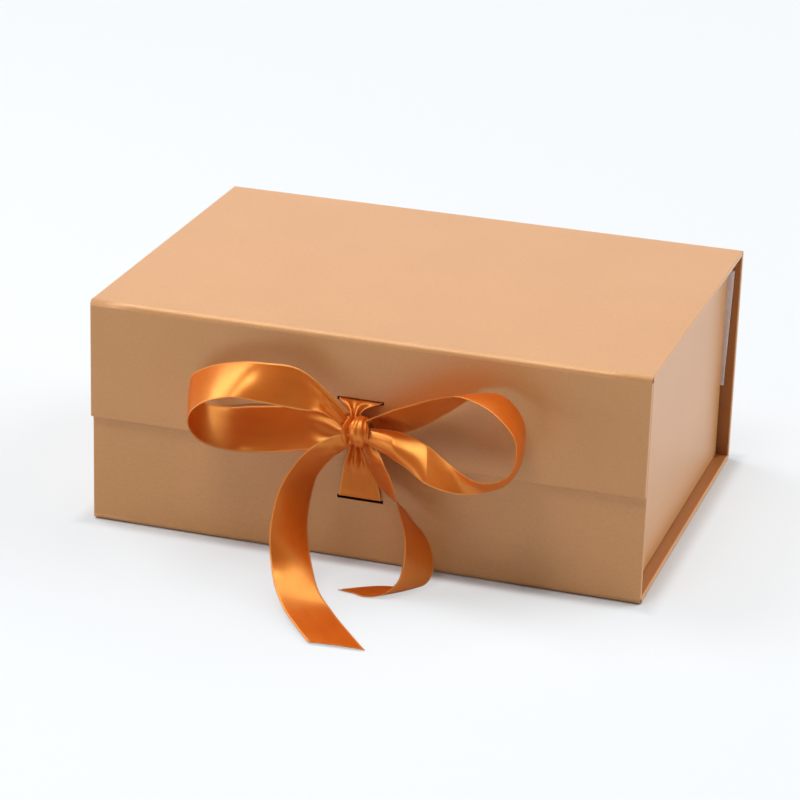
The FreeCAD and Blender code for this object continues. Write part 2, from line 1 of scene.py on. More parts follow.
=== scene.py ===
"""Looks of a folding gift box: pearl paper over greyboard, closed with a satin ribbon bow.

Lengths in the classes are millimetres. The frame is +X right, +Y back, +Z up, with the origin
at the centre of the underside of the base.
"""

import logging
import math
from bisect import bisect_right
from collections.abc import Callable, Sequence
from dataclasses import dataclass
from enum import Enum

import bmesh
import bpy
from mathutils import Matrix, Vector


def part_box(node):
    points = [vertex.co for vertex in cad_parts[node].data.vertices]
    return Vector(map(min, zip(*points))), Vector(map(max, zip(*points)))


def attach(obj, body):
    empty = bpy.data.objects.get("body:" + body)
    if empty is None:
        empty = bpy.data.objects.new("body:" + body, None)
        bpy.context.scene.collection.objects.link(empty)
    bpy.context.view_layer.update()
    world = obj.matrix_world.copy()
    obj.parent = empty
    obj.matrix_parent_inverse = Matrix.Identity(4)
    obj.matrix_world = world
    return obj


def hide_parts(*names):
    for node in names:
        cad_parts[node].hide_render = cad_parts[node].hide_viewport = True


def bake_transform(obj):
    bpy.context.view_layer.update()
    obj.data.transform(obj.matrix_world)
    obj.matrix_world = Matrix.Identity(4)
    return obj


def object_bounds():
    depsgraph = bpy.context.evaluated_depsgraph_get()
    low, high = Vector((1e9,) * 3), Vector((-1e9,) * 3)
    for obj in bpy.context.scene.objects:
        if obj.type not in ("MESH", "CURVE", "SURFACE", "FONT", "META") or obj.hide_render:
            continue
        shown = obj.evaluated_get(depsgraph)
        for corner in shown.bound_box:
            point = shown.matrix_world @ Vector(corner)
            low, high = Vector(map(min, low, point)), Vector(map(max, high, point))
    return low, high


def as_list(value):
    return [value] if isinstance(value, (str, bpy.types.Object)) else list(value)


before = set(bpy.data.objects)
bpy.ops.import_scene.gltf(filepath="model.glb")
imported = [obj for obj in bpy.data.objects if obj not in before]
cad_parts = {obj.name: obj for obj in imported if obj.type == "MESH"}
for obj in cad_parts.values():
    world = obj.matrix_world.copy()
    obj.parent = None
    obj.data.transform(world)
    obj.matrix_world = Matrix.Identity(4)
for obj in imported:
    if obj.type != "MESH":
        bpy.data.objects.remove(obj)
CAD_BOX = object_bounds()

LOG = logging.getLogger("gift_box")
MM = 0.001
RIBBON_WIDTH = 20.0
STITCH_PITCH = 0.95
TOUCHING = 1e-6
FACING = 0.99

Pair = tuple[float, float]
Triple = tuple[float, float, float]
Colour = Triple
Bump = Triple
Station = tuple[Triple, Triple]
Values = dict[object, object] | None


class Place(Enum):
    """Places of the box whose names are part of node names."""

    @property
    def word(self) -> str:
        """Name used in node names."""
        return self.name.lower()


class Side(Place):
    """The two ends of the box that have a side wall."""

    LEFT = -1
    RIGHT = 1


class End(Place):
    """The two upright edges of a side wall."""

    FRONT = -1
    REAR = 1


class Face(Enum):
    """A flat side of a panel, as its axis and which way it looks."""

    LEFT = (0, -1)
    RIGHT = (0, 1)
    FRONT = (1, -1)
    BACK = (1, 1)
    BOTTOM = (2, -1)
    TOP = (2, 1)


def arithmetic(operation: str, swapped: bool = False) -> Callable[..., "Socket"]:
    """Makes a method that adds one Math node.

    Args:
        operation: What the node works out.
        swapped: Whether the other value comes first.

    Returns:
        The method.
    """

    def method(self: "Socket", other: object = 0.0) -> "Socket":
        """Works out the value and another."""
        first, second = (other, self) if swapped else (self, other)
        return self.recipe.add("ShaderNodeMath", {"operation": operation}, {0: first, 1: second})

    return method


class Socket:
    """One output of a shader node, with arithmetic that adds Math nodes."""

    __add__ = __radd__ = arithmetic("ADD")
    __sub__ = arithmetic("SUBTRACT")
    __rsub__ = arithmetic("SUBTRACT", swapped=True)
    __mul__ = __rmul__ = arithmetic("MULTIPLY")
    __truediv__ = arithmetic("DIVIDE")
    least = arithmetic("MINIMUM")
    most = arithmetic("MAXIMUM")
    sine = arithmetic("SINE")
    size = arithmetic("ABSOLUTE")

    def __init__(self, recipe: "Recipe", output: bpy.types.NodeSocket) -> None:
        """Keeps the recipe that the output belongs to."""
        self.recipe = recipe
        self.output = output

    def ramp(self, low: float, high: float) -> "Socket":
        """0 below low, 1 above high, and a smooth step between them."""
        values = {"Value": self, "From Min": low, "From Max": high}
        return self.recipe.add("ShaderNodeMapRange", {"interpolation_type": "SMOOTHSTEP"}, values)


class Recipe:
    """The nodes of a material or of the world, put together one by one."""

    def __init__(self, owner: bpy.types.Material | bpy.types.World) -> None:
        """Starts with no nodes in the material or world."""
        self.owner = owner
        owner.use_nodes = True
        self.tree = owner.node_tree
        self.tree.nodes.clear()

    def node(self, kind: str, settings: Values = None, values: Values = None) -> bpy.types.Node:
        """Adds a node.

        Args:
            kind: The node's type.
            settings: Properties, set before the sockets.
            values: Input sockets by name or number, each a plain value, a colour or a Socket.

        Returns:
            The node.
        """
        node = self.tree.nodes.new(kind)
        for key, value in (settings or {}).items():
            setattr(node, key, value)
        for key, value in (values or {}).items():
            socket = node.inputs[key]
            if isinstance(value, Socket):
                self.tree.links.new(value.output, socket)
            else:
                socket.default_value = (*value, 1.0) if socket.type == "RGBA" else value
        return node

    def add(
        self, kind: str, settings: Values = None, values: Values = None, output: int | str = 0
    ) -> Socket:
        """Adds a node as above, and hands back one of its outputs."""
        return Socket(self, self.node(kind, settings, values).outputs[output])

    # A Mix node's colours are its inputs 6 and 7 and its output 2, and its numbers 2, 3 and 0.

    def mix(self, factor: object, first: object, second: object) -> Socket:
        """Blends two colours by a factor."""
        return self.add("ShaderNodeMix", {"data_type": "RGBA"}, {0: factor, 6: first, 7: second}, 2)

    def choose(self, factor: Socket, first: object, second: object) -> Socket:
        """Blends two numbers by a factor."""
        return self.add("ShaderNodeMix", {"data_type": "FLOAT"}, {0: factor, 2: first, 3: second})

    def rays(self) -> tuple[Socket, Socket, Socket]:
        """1 for light on its way to the camera, in a gloss, and through glass."""
        names = ("Is Camera Ray", "Is Glossy Ray", "Is Transmission Ray")
        node = self.node("ShaderNodeLightPath")
        return tuple(Socket(self, node.outputs[name]) for name in names)

    def place(self) -> Socket:
        """Position on the object, in metres."""
        return self.add("ShaderNodeTexCoord", output="Object")

    def weave_map(self) -> Socket:
        """Position on the cloth: along and across, in millimetres."""
        return self.add("ShaderNodeUVMap", {"uv_map": "weave"})

    def parts(self, vector: Socket) -> tuple[Socket, Socket, Socket]:
        """The three numbers of a vector."""
        node = self.node("ShaderNodeSeparateXYZ", {}, {0: vector})
        return tuple(Socket(self, output) for output in node.outputs)

    def grain(self, vector: Socket, scale: float, detail: float, rough: float = 0.5) -> Socket:
        """Soft noise, about 0 to 1."""
        values = {"Vector": vector, "Scale": scale, "Detail": detail, "Roughness": rough}
        return self.add("ShaderNodeTexNoise", {"noise_dimensions": "3D"}, values)

    def stretch(self, vector: Socket, scale: Triple) -> Socket:
        """A vector scaled unevenly."""
        values = {"Vector": vector, "Scale": scale}
        return self.add("ShaderNodeMapping", {"vector_type": "POINT"}, values)

    def bump(self, height: Socket, depth: float) -> Socket:
        """Surface normal from a height of 0 to 1, depth in metres."""
        values = {"Height": height, "Strength": 1.0, "Distance": depth}
        return self.add("ShaderNodeBump", {}, values, "Normal")

    def end(self, shader: Socket) -> bpy.types.Material | bpy.types.World:
        """Joins a shader to the surface, and hands back the material or world."""
        kind = "World" if isinstance(self.owner, bpy.types.World) else "Material"
        self.node(f"ShaderNodeOutput{kind}", {}, {"Surface": shader})
        return self.owner

    def finish(self, values: dict[str, object]) -> bpy.types.Material:
        """Ends the recipe in a Principled shader.

        Args:
            values: The shader's inputs by name.

        Returns:
            The finished material.
        """
        return self.end(self.add("ShaderNodeBsdfPrincipled", {}, values, "BSDF"))


@dataclass(frozen=True)
class PearlPaper:
    """Pressed paper with a soft metallic bloom and fine fibres."""

    name: str
    colour: Colour
    shade: Colour
    roughness: float = 0.5
    bloom: float = 0.95
    bloom_roughness: float = 0.36
    bloom_ior: float = 1.43
    metal: float = 0.1
    gleam: float = 0.25
    unevenness: float = 0.25
    cloud_scale: float = 22.0
    fleck_scale: float = 1500.0
    fibre_scale: float = 620.0
    fibre_squeeze: Triple = (1.0, 1.0, 2.6)
    shares: Triple = (0.25, 0.4, 0.35)
    contrast: Pair = (0.36, 0.64)
    relief: float = 0.00005

    def material(self) -> bpy.types.Material:
        """Makes the paper.

        Returns:
            Its material.
        """
        recipe = Recipe(bpy.data.materials.new(self.name))
        place = recipe.place()
        cloud = recipe.grain(place, self.cloud_scale, detail=2.0)
        fleck = recipe.grain(place, self.fleck_scale, detail=2.0, rough=0.7)
        squeezed = recipe.stretch(place, self.fibre_squeeze)
        fibre = recipe.grain(squeezed, self.fibre_scale, detail=3.0, rough=0.65)
        in_cloud, in_fleck, in_fibre = self.shares
        tone = (cloud * in_cloud + fleck * in_fleck + fibre * in_fibre).ramp(*self.contrast)
        return recipe.finish(
            {
                "Base Color": recipe.mix(tone, self.shade, self.colour),
                "Roughness": self.roughness + (fleck - 0.5) * self.unevenness,
                "Metallic": self.metal,
                "Specular IOR Level": self.gleam,
                "Coat Weight": self.bloom,
                "Coat Roughness": self.bloom_roughness,
                "Coat IOR": self.bloom_ior,
                "Normal": recipe.bump(fleck * 0.5 + fibre * 0.5, self.relief),
            }
        )


@dataclass(frozen=True)
class Satin:
    """Woven ribbon satin: fine lengthwise threads between two firm stitched edges."""

    name: str
    colour: Colour
    deep: Colour
    edge: Colour
    roughness: float = 0.3
    gleam: float = 0.92
    gleam_colour: Colour = (1.0, 0.49, 0.115)
    ior: float = 2.2
    thread_scale: Triple = (0.12, 3.2, 1.0)
    shade_scale: Triple = (0.09, 0.3, 1.0)
    thread_share: float = 0.25
    contrast: Pair = (0.2, 0.8)
    selvedge_reach: Pair = (0.026, 0.042)
    relief: float = 0.000005
    thread_matt: float = 0.08
    edge_matt: float = 0.15

    def material(self) -> bpy.types.Material:
        """Makes the satin.

        Returns:
            Its material.
        """
        recipe = Recipe(bpy.data.materials.new(self.name))
        cloth = recipe.weave_map()
        along, across, _ = recipe.parts(cloth)
        thin, wide = (recipe.stretch(cloth, s) for s in (self.thread_scale, self.shade_scale))
        threads = recipe.grain(thin, 1.0, detail=3.0, rough=0.6)
        broad = recipe.grain(wide, 1.0, detail=2.0)
        from_edge = (across / RIBBON_WIDTH - 0.5).size() * -1.0 + 0.5
        selvedge = 1.0 - from_edge.ramp(*self.selvedge_reach)
        stitch = (along * (2.0 * math.pi / STITCH_PITCH)).sine() * 0.5 + 0.5
        tone = threads * self.thread_share + broad * (1.0 - self.thread_share)
        tone = tone.ramp(*self.contrast)
        body = recipe.mix(tone, self.deep, self.colour)
        colour = recipe.mix(selvedge * (stitch * 0.5 + 0.5), body, self.edge)
        rough = (threads - 0.5) * self.thread_matt + self.roughness + selvedge * self.edge_matt
        height = threads * (1.0 - selvedge) + stitch * selvedge
        return recipe.finish(
            {
                "Base Color": colour,
                "Roughness": rough,
                "IOR": self.ior,
                "Specular IOR Level": self.gleam,
                "Specular Tint": self.gleam_colour,
                "Normal": recipe.bump(height, self.relief),
            }
        )


@dataclass(frozen=True)
class Plain:
    """A hidden or small piece's finish with a light grain."""

    name: str
    colour: Colour
    shade: Colour
    roughness: float
    metal: float = 0.0
    scale: float = 900.0
    relief: float = 0.00004
    contrast: Pair = (0.35, 0.65)
    unevenness: float = 0.2

    def material(self) -> bpy.types.Material:
        """Makes the finish.

        Returns:
            Its material.
        """
        recipe = Recipe(bpy.data.materials.new(self.name))
        speck = recipe.grain(recipe.place(), self.scale, detail=3.0, rough=0.6)
        tone = speck.ramp(*self.contrast)
        return recipe.finish(
            {
                "Base Color": recipe.mix(tone, self.shade, self.colour),
                "Roughness": self.roughness + (speck - 0.5) * self.unevenness,
                "Metallic": self.metal,
                "Normal": recipe.bump(speck, self.relief),
            }
        )


class Finish(Enum):
    """Every finish of the box, the bow and its hardware."""

    PAPER = PearlPaper("pearl_paper", (0.645, 0.308, 0.106), (0.585, 0.272, 0.09))
    # A lighter copy of the pearl paper: painted highlight along the fold between lid and flap.
    FOLD = PearlPaper("pearl_fold_paper", (0.74, 0.365, 0.135), (0.66, 0.315, 0.115), 0.42, 1.0)
    # The lining paper; on the turn-in margins it also stands in as painted shade, darker than the
    # outer paper.
    LINING = PearlPaper("lining_paper", (0.46, 0.183, 0.054), (0.40, 0.149, 0.042), 0.55, 0.35)
    SATIN = Satin("satin_face", (0.64, 0.118, 0.01), (0.56, 0.095, 0.008), (0.86, 0.33, 0.1))
    SATIN_BACK = Satin(
        "satin_back", (0.62, 0.113, 0.01), (0.54, 0.09, 0.008), (0.84, 0.32, 0.1), 0.34
    )
    SELVEDGE = Satin(
        "satin_selvedge", (0.56, 0.15, 0.02), (0.46, 0.11, 0.014), (0.6, 0.17, 0.03), 0.6, 0.2
    )
    BOARD = Plain("greyboard", (0.30, 0.27, 0.235), (0.22, 0.2, 0.175), 0.9)
    # Near-black, not the board's grey: painted shade on the walls of the ribbon slots.
    CUT = Plain("slot_painted_shade", (0.012, 0.008, 0.006), (0.006, 0.004, 0.003), 0.95)
    LINER = Plain("release_paper", (0.95, 0.87, 0.87), (0.89, 0.81, 0.81), 0.36, 0.0, 500.0)
    TAPE = Plain("tape_film", (0.66, 0.62, 0.55), (0.58, 0.54, 0.48), 0.3)
    MAGNET = Plain("plated_magnet", (0.62, 0.62, 0.64), (0.54, 0.54, 0.56), 0.28, 1.0)
    KEEPER = Plain("keeper_steel", (0.46, 0.46, 0.47), (0.38, 0.38, 0.39), 0.42, 1.0)

    @property
    def slot(self) -> str:
        """The material slot name for this finish."""
        named = {
            "PAPER": "pearl_paper",
            "FOLD": "pearl_paper",
            "LINING": "lining_paper",
            "BOARD": "greyboard",
            "CUT": "greyboard",
        }
        return "satin" if isinstance(self.value, Satin) else named.get(self.name, self.name.lower())


RIBBON = (Finish.SATIN, Finish.SATIN_BACK, Finish.SELVEDGE)


def placed(name: str, data: bpy.types.ID) -> bpy.types.Object:
    """Puts a new object in the scene."""
    made = bpy.data.objects.new(name, data)
    bpy.context.scene.collection.objects.link(made)
    return made


def filled(
    name: str, mesh: bmesh.types.BMesh, materials: Sequence[bpy.types.Material]
) -> bpy.types.Object:
    """Puts a new object of a mesh in the scene, and frees the mesh."""
    data = bpy.data.meshes.new(name)
    mesh.to_mesh(data)
    mesh.free()
    for material in materials:
        data.materials.append(material)
    return placed(name, data)


class Workshop:
    """Turns meshes into pieces and keeps one copy of each finish."""

    def __init__(self) -> None:
        """Starts with no finishes made."""
        self._made: dict[Finish, bpy.types.Material] = {}

    def material(self, finish: Finish) -> bpy.types.Material:
        """The material of a finish, made once."""
        if finish not in self._made:
            self._made[finish] = finish.value.material()
        return self._made[finish]

    def piece(
        self, name: str, mesh: bmesh.types.BMesh, finishes: Sequence[Finish], smooth: bool = False
    ) -> bpy.types.Object:
        """Makes an object of a mesh.

        Args:
            name: The piece's name.
            mesh: Its mesh in metres, in the frame. It is freed.
            finishes: One finish for each material index.
            smooth: Whether its faces are shaded smooth.

        Returns:
            The new object.
        """
        for face in mesh.faces:
            face.smooth = smooth
        made = filled(name, mesh, [self.material(finish) for finish in finishes])
        finishes[0].slot
        LOG.info("made %s", name)
        return made

    def dress(self, finish: Finish, *nodes: str) -> None:
        """Gives CAD nodes a finish."""
        for node in nodes:
            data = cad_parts[node].data
            data.materials.clear()
            data.materials.append(self.material(finish))

    def strip(
        self,
        name: str,
        mesh: bmesh.types.BMesh,
        finishes: Sequence[Finish],
        node: str,
        thickness: float,
        offset: float = 0.0,
        smooth: bool = True,
    ) -> bpy.types.Object:
        """Makes a piece of a thin sheet, in the place of a node's plain solid.

        Args:
            name: The piece's name.
            mesh: The sheet, without thickness.
            finishes: The finish of its face, and of its back and rim where these differ.
            node: The node that it stands for.
            thickness: In millimetres.
            offset: 0 to thicken it to both sides alike, -1 behind its faces.
            smooth: Whether its faces are shaded smooth.

        Returns:
            The new object.
        """
        made = self.piece(name, mesh, finishes, smooth)
        shell = made.modifiers.new("thickness", "SOLIDIFY")
        shell.thickness = thickness * MM
        shell.offset = offset
        if len(finishes) > 1:
            shell.material_offset = 1
            shell.material_offset_rim = 2
        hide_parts(node)
        return made


def bend(made: bpy.types.Object, bodies: tuple[str, str], fold: Sequence[Vector]) -> None:
    """Hangs a strip on its body where both bodies are the same; between two bodies it only bakes
    its place into its mesh, and the fold's points are not used.
    """
    if bodies[0] == bodies[1]:
        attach(made, bodies[0])
    else:
        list(bodies)
        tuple(fold[0])
        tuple(fold[1])
        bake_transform(made)


def sheet_mesh(
    columns: int,
    rows: int,
    shape: Callable[[float, float], Vector],
    weave: Pair | None = None,
) -> bmesh.types.BMesh:
    """Makes a fine grid and puts its points in place.

    Args:
        columns: Points along it.
        rows: Points across it.
        shape: Gives the place, in metres, for two shares from 0 to 1.
        weave: Length and width of the cloth, where it has a woven pattern.

    Returns:
        The mesh.
    """
    mesh = bmesh.new()
    layer = mesh.loops.layers.uv.new("weave") if weave else None
    bmesh.ops.create_grid(mesh, x_segments=columns, y_segments=rows, size=0.5)
    if weave:
        for loop in (loop for face in mesh.faces for loop in face.loops):
            co = loop.vert.co
            loop[layer].uv = ((co.x + 0.5) * weave[0], (co.y + 0.5) * weave[1])
    for vert in mesh.verts:
        vert.co = shape(vert.co.x + 0.5, vert.co.y + 0.5)
    return mesh


@dataclass
class SlotCut:
    """An opening for the ribbon in a panel, with a crushed lip."""

    x: Pair
    z: Pair
    depth: float
    lip: Pair = (0.08, 0.15)


@dataclass
class WrappedPanel:
    """Board wrapped in paper, with crisp rounded edges and a shallow bed for its lining."""

    node: str
    body: str
    inner: Face
    butts: tuple[Face, ...] = ()
    slot: SlotCut | None = None
    edge_radius: float = 0.55
    edge_steps: int = 4
    lining_margin: float = 4.0
    lining_bed: float = 0.25
    step_in: float = 0.02

    def build(self, shop: Workshop) -> None:
        """Makes the panel's paper.

        Args:
            shop: Keeps the finishes.
        """
        low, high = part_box(f"{self.node}_wrap")
        mesh = bmesh.new()
        bmesh.ops.create_cube(mesh, size=1.0)
        bmesh.ops.scale(mesh, vec=high - low, verts=mesh.verts)
        bmesh.ops.translate(mesh, vec=(low + high) / 2, verts=mesh.verts)
        self._round(mesh, low, high)
        if self.slot:
            self._cut_slot(mesh, low)
        self._bed(mesh, low, high)
        made = shop.piece(f"{self.node}_paper", mesh, (Finish.PAPER, Finish.CUT, Finish.LINING))
        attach(made, self.body)
        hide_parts(f"{self.node}_wrap")

    @staticmethod
    def _plane(side: Face, low: Vector, high: Vector) -> tuple[int, float]:
        """Axis number and place of a side of the panel."""
        axis, sign = side.value
        return axis, (high if sign > 0 else low)[axis]

    def _round(self, mesh: bmesh.types.BMesh, low: Vector, high: Vector) -> None:
        """Rounds the edges, apart from those where the next sheet goes on."""
        butts = [self._plane(side, low, high) for side in self.butts]
        edges = [
            edge
            for edge in mesh.edges
            if not any(all(abs(v.co[a] - p) < TOUCHING for v in edge.verts) for a, p in butts)
        ]
        bmesh.ops.bevel(
            mesh,
            geom=edges,
            offset=self.edge_radius * MM,
            offset_type="OFFSET",
            segments=self.edge_steps,
            profile=0.5,
            affect="EDGES",
            clamp_overlap=True,
            material=-1,
        )

    def _cut_slot(self, mesh: bmesh.types.BMesh, low: Vector) -> None:
        """Sinks the ribbon's slot into the outer face."""
        cut = self.slot
        for axis, places in ((0, cut.x), (2, cut.z)):
            for place in places:
                point, normal = Vector(), Vector()
                point[axis] = place * MM
                normal[axis] = 1.0
                geometry = mesh.verts[:] + mesh.edges[:] + mesh.faces[:]
                bmesh.ops.bisect_plane(mesh, geom=geometry, plane_co=point, plane_no=normal)
        middle = Vector((sum(cut.x) / 2 * MM, low.y, sum(cut.z) / 2 * MM))
        near = cut.lip[1] * MM
        mouth = [f for f in mesh.faces if (f.calc_center_median() - middle).length < near]
        for inward, depth in (cut.lip, (self.step_in, cut.depth)):
            bmesh.ops.inset_region(mesh, faces=mouth, thickness=inward * MM, depth=-depth * MM)
        walls = {face for found in mouth for edge in found.edges for face in edge.link_faces}
        # The slot's walls take the near-black finish, painted shade inside the slot.
        for face in walls:
            face.material_index = 1

    def _bed(self, mesh: bmesh.types.BMesh, low: Vector, high: Vector) -> None:
        """Sinks the bed that the lining lies in."""
        axis, place = self._plane(self.inner, low, high)
        face_on = [
            f
            for f in mesh.faces
            if abs(f.calc_center_median()[axis] - place) < TOUCHING and abs(f.normal[axis]) > FACING
        ]
        margin = (self.lining_margin - self.edge_radius) * MM
        rim = bmesh.ops.inset_region(mesh, faces=face_on, thickness=margin, use_even_offset=True)
        # The margin is the outer paper's turn-in, but takes the darker lining paper: painted shade
        # on the ledge beside each side wall.
        for face in rim["faces"] + face_on:
            face.material_index = 2
        inward, depth = self.step_in * MM, -self.lining_bed * MM
        bmesh.ops.inset_region(mesh, faces=face_on, thickness=inward, depth=depth)


@dataclass
class FoldPaper:
    """Paper that runs a quarter turn round a fold; first points to where it starts."""

    node: str
    bodies: tuple[str, str]
    centre: Vector
    axis: Vector
    first: Vector
    length: float
    radius: float = 2.5
    finish: Finish = Finish.PAPER
    thickness: float = 0.25
    steps: int = 18
    cuts: int = 11
    held_turn: float = 0.0

    def build(self, shop: Workshop) -> None:
        """Makes the strip.

        Args:
            shop: Keeps the finishes.
        """
        mesh = bmesh.new()
        along = self.axis.normalized()
        half = along * (self.length / 2 * MM)
        outer = self.centre + self.first * (self.radius * MM)
        ends = [mesh.verts.new(outer - half), mesh.verts.new(outer + half)]
        profile = [mesh.edges.new(ends)]
        bmesh.ops.subdivide_edges(mesh, edges=profile, cuts=self.cuts)
        bmesh.ops.spin(
            mesh,
            geom=mesh.verts[:] + mesh.edges[:],
            cent=self.centre,
            axis=along,
            angle=math.pi / 2,
            steps=self.steps,
            use_duplicate=False,
        )
        for face in mesh.faces:
            if face.normal.dot(face.calc_center_median() - self.centre) < 0:
                face.normal_flip()
        name, finishes = f"{self.node}_sheet", (self.finish,)
        made = shop.strip(name, mesh, finishes, self.node, self.thickness, -1.0)
        turns = (Matrix.Rotation(turn, 3, self.axis) for turn in (self.held_turn, math.pi / 2))
        fold = [self.centre + turn @ self.first * (self.radius * MM) for turn in turns]
        bend(made, self.bodies, fold)


@dataclass
class Casing:
    """The case: base, back wall, lid, flap and front wall, and the papers at their folds."""

    panels: tuple[WrappedPanel, ...] = (
        WrappedPanel("base", "tray", Face.TOP, (Face.FRONT, Face.BACK)),
        WrappedPanel("back", "tray", Face.FRONT, (Face.BOTTOM, Face.TOP)),
        WrappedPanel("lid", "lid", Face.BOTTOM, (Face.FRONT, Face.BACK)),
    )
    slot_size: Pair = (RIBBON_WIDTH, 1.6)
    lower_slot: float = 28.0
    upper_slot: float = 72.6
    slot_floor: float = 0.5
    fold_margin: float = 0.3

    def build(self, shop: Workshop) -> None:
        """Makes every panel and fold of the case.

        Args:
            shop: Keeps the finishes.
        """
        for panel in self.panels:
            panel.build(shop)
        cut = self._slot("front", "ribbon_lower_leg", self.lower_slot)
        WrappedPanel("front", "tray", Face.BACK, (Face.BOTTOM,), cut).build(shop)
        cut = self._slot("flap", "ribbon_upper_leg", self.upper_slot)
        WrappedPanel("flap", "flap", Face.BACK, (Face.TOP,), cut).build(shop)
        self._folds(shop)
        panels = ("base", "back", "lid", "front", "flap", "floor")
        shop.dress(Finish.BOARD, *(f"{panel}_board" for panel in panels))
        shop.dress(Finish.LINING, *(f"{panel}_lining" for panel in panels))
        shop.dress(Finish.KEEPER, "keeper_plates")
        shop.dress(Finish.MAGNET, "flap_magnets")

    def _slot(self, node: str, leg: str, z: float) -> SlotCut:
        """The slot round the ribbon leg that comes out of this panel."""
        low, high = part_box(leg)
        panel_low, panel_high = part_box(f"{node}_wrap")
        x = (low.x + high.x) / 2 / MM
        width, height = (size / 2 for size in self.slot_size)
        depth = (panel_high.y - panel_low.y) / MM - self.slot_floor
        return SlotCut((x - width, x + width), (z - height, z + height), depth)

    def _folds(self, shop: Workshop) -> None:
        """Makes the four fold papers, each from the corner of its box that its arc turns about."""
        folds = (
            ("front_fold_paper", ("tray", "tray"), (1, 1), (0, -1, 0), Finish.PAPER),
            ("back_fold_paper", ("tray", "tray"), (0, 1), (0, 0, -1), Finish.PAPER),
            ("lid_hinge_paper", ("tray", "lid"), (0, 0), (0, 1, 0), Finish.PAPER),
            # The flap's hinge gets the lighter copy of the paper, a painted highlight on the lid's
            # front edge.
            ("flap_hinge_paper", ("lid", "flap"), (1, 0), (0, 0, 1), Finish.FOLD),
        )
        low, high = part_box("front_fold_paper")
        length = (high.x - low.x) / MM - self.fold_margin
        for node, bodies, corner, first, finish in folds:
            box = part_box(node)
            centre = Vector((0, box[corner[0]].y, box[corner[1]].z))
            along, first = Vector((1, 0, 0)), Vector(first)
            FoldPaper(node, bodies, centre, along, first, length, finish=finish).build(shop)


@dataclass
class LinerStrip:
    """Release paper on a flange's tape: its free edge stands out past the corner, cut aslant."""

    flange: str
    side: Side
    end: End
    heights: Pair = (36.0, 92.5)
    inner: float = 102.0
    outer: Pair = (115.7, 117.2)
    clipped: float = 2.0
    clip_share: float = 1 / 12
    curl: float = 0.3
    curl_share: float = 0.15
    points: tuple[int, int] = (24, 36)
    thickness: float = 0.1
    fold: Pair = (112.85, 110.05)

    def build(self, shop: Workshop) -> None:
        """Makes the strip.

        Args:
            shop: Keeps the finishes.
        """
        low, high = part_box(f"{self.flange}_liner")
        depth = (low.y + high.y) / 2 / MM
        bottom, top = self.heights

        def shape(across: float, up: float) -> Vector:
            """A point of the strip, in metres."""
            edge = self.outer[0] + (self.outer[1] - self.outer[0]) * up
            corner = self.clipped * across * max(0.0, 1 - (1 - up) / self.clip_share)
            curl = self.curl * max(0.0, 1 - (1 - across) / self.curl_share) * (1 - up)
            x = self.inner + (edge - self.inner) * across
            z = bottom + (top - bottom) * up - corner
            return Vector((x * self.side.value, depth - curl * self.end.value, z)) * MM

        mesh = sheet_mesh(*self.points, shape)
        bmesh.ops.recalc_face_normals(mesh, faces=mesh.faces)
        name, node = f"{self.flange}_release", f"{self.flange}_liner"
        made = shop.strip(name, mesh, (Finish.LINER,), node, self.thickness)
        fold = [Vector((x * self.side.value, depth, bottom)) * MM for x in self.fold]
        bend(made, (f"side_{self.side.word}", self.flange), fold)


@dataclass
class FootPaper:
    """Paper that hinges a side wall, from under the floor board up the wall's inner face."""

    side: Side
    thickness: float = 0.2
    fold: Pair = (6.3, 7.3)
    cuts: int = 64

    def build(self, shop: Workshop) -> None:
        """Makes the strip.

        Args:
            shop: Keeps the finishes.
        """
        word = self.side.word
        node = f"side_{word}_foot_paper"
        low, high = (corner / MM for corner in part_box(node))
        half = self.thickness / 2
        inner, face = sorted((abs(low.x), abs(high.x)))
        flat, wall = low.z + half, face - half

        def shape(along: float, across: float) -> Vector:
            """A point of the strip, in metres: first along the floor, then up the wall."""
            x = inner + (wall - inner) * min(along * 2, 1.0)
            z = flat + (high.z - flat) * max(along * 2 - 1.0, 0.0)
            y = low.y + (high.y - low.y) * across
            return Vector((x * self.side.value, y, z)) * MM

        mesh = sheet_mesh(self.cuts * 2, 1, shape)
        bmesh.ops.recalc_face_normals(mesh, faces=mesh.faces)
        name, finishes = f"{node}_sheet", (Finish.LINING,)
        made = shop.strip(name, mesh, finishes, node, self.thickness, smooth=False)
        fold = [Vector((wall * self.side.value, 0.0, z)) * MM for z in self.fold]
        bend(made, ("tray", f"side_{word}"), fold)


